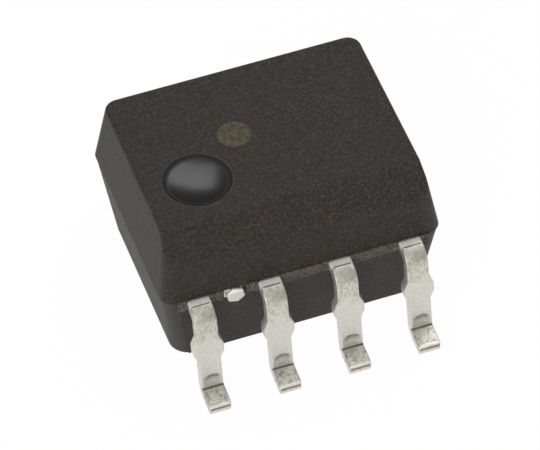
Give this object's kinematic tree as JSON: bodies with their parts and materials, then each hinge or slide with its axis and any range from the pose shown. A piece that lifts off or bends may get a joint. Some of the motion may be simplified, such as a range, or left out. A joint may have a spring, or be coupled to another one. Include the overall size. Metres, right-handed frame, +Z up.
{
  "type": "soic optocoupler chip",
  "caption": "Small-outline surface-mount chip: black moulded body with a bevelled edge and an index dimple, gull-wing leads in two rows, light-coupled chips inside.",
  "frame": {"origin": "on the board, under the centre of the body", "axes": "+X along the lead rows from lead 1 to lead 4, +Y across the body from leads 1 to 4 towards leads 5 to 8, +Z up from the board"},
  "size_m": [0.005, 0.006, 0.0032],
  "materials": {
    "moulding": "matte black moulding compound with a fine grain",
    "tinned_lead": "matt tin over copper alloy",
    "emitter": "polished semiconductor",
    "silicon": "polished silicon",
    "cement": "silver-filled cement",
    "gold": "drawn gold wire",
    "gel": "clear soft silicone",
    "film": "amber insulating film"
  },
  "bodies": {
    "root": {"body": "moulding", "lead_1": "tinned_lead", "lead_2": "tinned_lead", "lead_3": "tinned_lead", "lead_4": "tinned_lead", "lead_5": "tinned_lead", "lead_6": "tinned_lead", "lead_7": "tinned_lead", "lead_8": "tinned_lead", "emitter_chip": "emitter", "driver_chip": "silicon", "detector_chip": "silicon", "emitter_cement": "cement", "driver_cement": "cement", "detector_cement": "cement", "wire_supply_in": "gold", "wire_signal_in": "gold", "wire_ground_in": "gold", "wire_anode": "gold", "wire_cathode": "gold", "wire_supply_out": "gold", "wire_signal_out": "gold", "wire_ground_out": "gold", "gel_upper": "gel", "film": "film", "gel_lower": "gel"}
  },
  "joints": []
}
